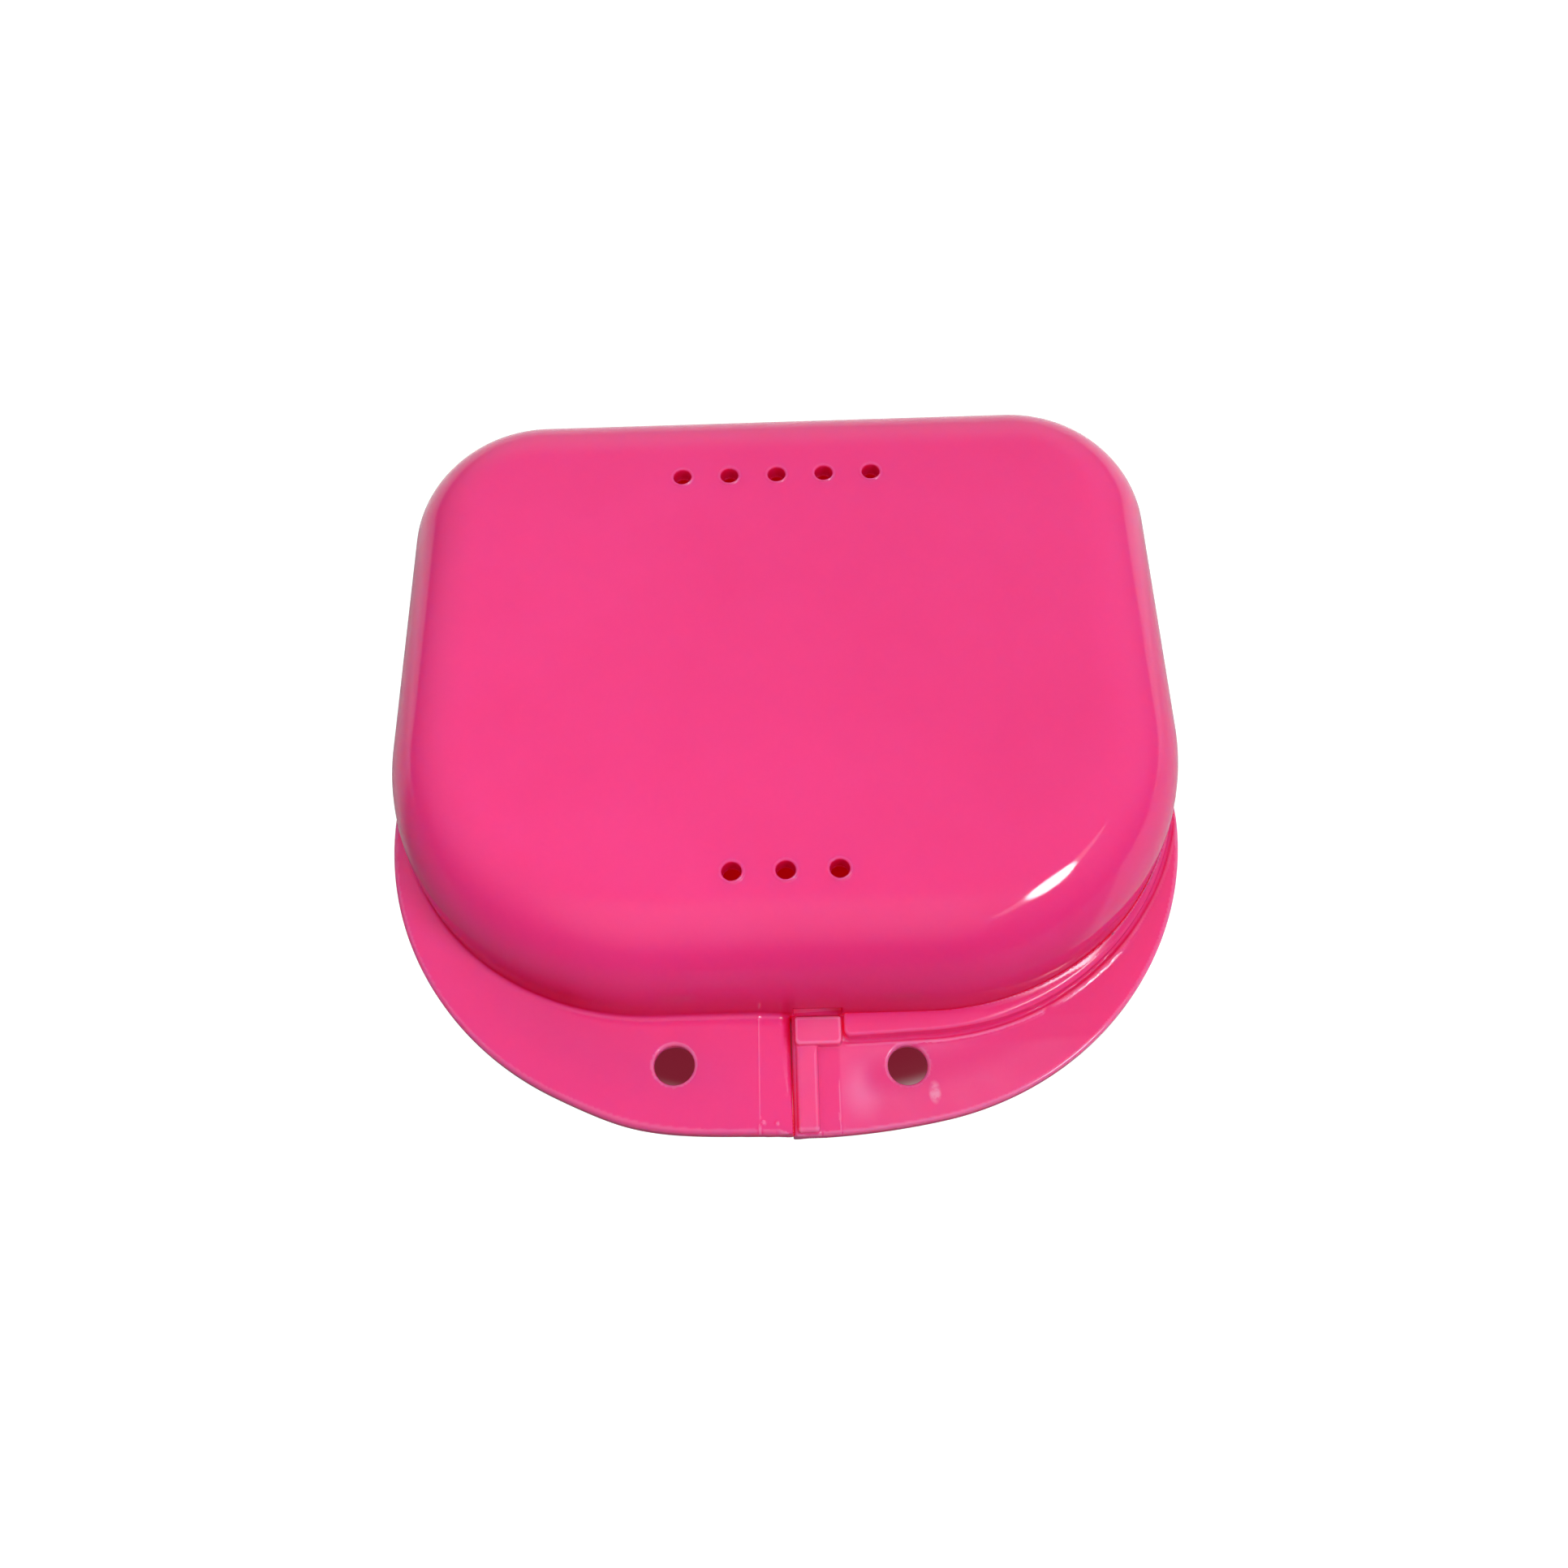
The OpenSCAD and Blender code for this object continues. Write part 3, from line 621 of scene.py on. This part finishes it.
# painted shadow under the case: deep red, fading to white away from it
painted_floor_shadow = N.new("ShaderNodeMix")
painted_floor_shadow.data_type = "RGBA"
painted_floor_shadow.inputs[6].default_value = (0.185, 0.010, 0.024, 1)
painted_floor_shadow.inputs[7].default_value = (0.88, 0.88, 0.88, 1)
L.new(floor_range(cover, 0.79, 0.91, 0.0, 1.0), painted_floor_shadow.inputs[0])
L.new(painted_floor_shadow.outputs[2], glow.inputs["Color"])
# painted shade: the floor is nearly black to light under the case
L.new(floor_range(cover, 0.78, 0.88, 0.03, 0.36), pale.inputs["Color"])
L.new(glow.outputs[0], both.inputs[1])
me.materials.append(fm)


# ------------------------------------------------------------------ light and camera
def area(name, loc, target, size, power, color=(1, 1, 1), size_y=None):
    d = bpy.data.lights.new(name, "AREA")
    d.energy = power
    d.color = color
    d.size = size
    if size_y:
        d.shape = "ELLIPSE"
        d.size_y = size_y
    o = bpy.data.objects.new(name, d)
    o.location = loc
    o.rotation_euler = (Vector(target) - Vector(loc)).to_track_quat("-Z", "Y").to_euler()
    bpy.context.scene.collection.objects.link(o)
    return o


sc = bpy.context.scene
sc.view_settings.view_transform = "Standard"
sc.view_settings.look = "None"
world = bpy.data.worlds.new("studio")
sc.world = world
world.use_nodes = True
wt = world.node_tree
bg = wt.nodes["Background"]
bg.inputs[0].default_value = (1, 1, 1, 1)
# soft dome: bright above and behind the case, dark near the floor in front and at the left,
# with a broad faint glow over the front
wc = wt.nodes.new("ShaderNodeTexCoord")


def glow_towards(axis, f0, f1, t0, t1):
    dot = wt.nodes.new("ShaderNodeVectorMath")
    dot.operation = "DOT_PRODUCT"
    dot.inputs[1].default_value = Vector(axis).normalized()
    wt.links.new(wc.outputs["Generated"], dot.inputs[0])
    n = wt.nodes.new("ShaderNodeMapRange")
    n.interpolation_type = "SMOOTHSTEP"
    for k, w in (("From Min", f0), ("From Max", f1), ("To Min", t0), ("To Max", t1)):
        n.inputs[k].default_value = w
    wt.links.new(dot.outputs["Value"], n.inputs["Value"])
    return n.outputs["Result"]


parts = [glow_towards((0.08, 0.35, 0.94), -0.05, 0.75, 0.04, 0.54),
         glow_towards((0.0, 0.99, 0.14), 0.78, 0.99, 0.0, 0.30),
         glow_towards((-0.05, -0.55, 0.83), 0.78, 0.99, 0.0, 0.37)]
total = parts[0]
for part in parts[1:]:
    add = wt.nodes.new("ShaderNodeMath")
    add.operation = "ADD"
    wt.links.new(total, add.inputs[0])
    wt.links.new(part, add.inputs[1])
    total = add.outputs[0]
wt.links.new(total, bg.inputs[1])
KEY = Vector((0.602, -0.347, 0.719))
AIM = Vector((0.024, -0.022, 0.025))
area("key_right", AIM + KEY, AIM, 0.31, 3.8, size_y=0.19)
area("key_wings", AIM + KEY, AIM, 0.80, 0.30, size_y=0.10)
for fill in (area("fill_left", (-0.050, -0.040, 0.13), (-0.045, -0.035, 0.02), 0.07, 0.032, size_y=0.07),
             area("fill_top", (-0.02, -0.03, 0.50), (0, 0, 0.02), 0.40, 0.25, size_y=0.40),
             area("fill_right", (0.19, -0.07, 0.15), (0.03, -0.02, 0.014), 0.14, 0.023, size_y=0.14)):
    fill.visible_glossy = False
    fill.visible_camera = False

E, F_PX, DIST = math.radians(63.0), 1810.5, 153.87
TX, TY, ROLL, YAW = -1.046, -42.336, math.radians(-2.772), math.radians(-1.269)
d = np.array([0, math.cos(E), -math.sin(E)])
r = np.array([1.0, 0, 0])
u = np.array([0, math.sin(E), math.cos(E)])
C = np.array([TX, TY, 0]) - DIST * d
r2 = r * math.cos(ROLL) + u * math.sin(ROLL)
u2 = -r * math.sin(ROLL) + u * math.cos(ROLL)
cy, sy = math.cos(-YAW), math.sin(-YAW)
RZ = np.array([[cy, -sy, 0], [sy, cy, 0], [0, 0, 1]])
C, r2, u2, d = RZ @ C, RZ @ r2, RZ @ u2, RZ @ d
C = (C + np.array([0, BACK, ZP])) * MM
cam_data = bpy.data.cameras.new("camera")
cam_data.sensor_width = 36.0
cam_data.lens = 36.0 * F_PX / 1932.0
cam_data.clip_start = 0.005
cam_data.clip_end = 20.0
cam = bpy.data.objects.new("camera", cam_data)
cam.matrix_world = Matrix(((r2[0], u2[0], -d[0], C[0]), (r2[1], u2[1], -d[1], C[1]), (r2[2], u2[2], -d[2], C[2]), (0, 0, 0, 1)))
sc.collection.objects.link(cam)
sc.camera = cam
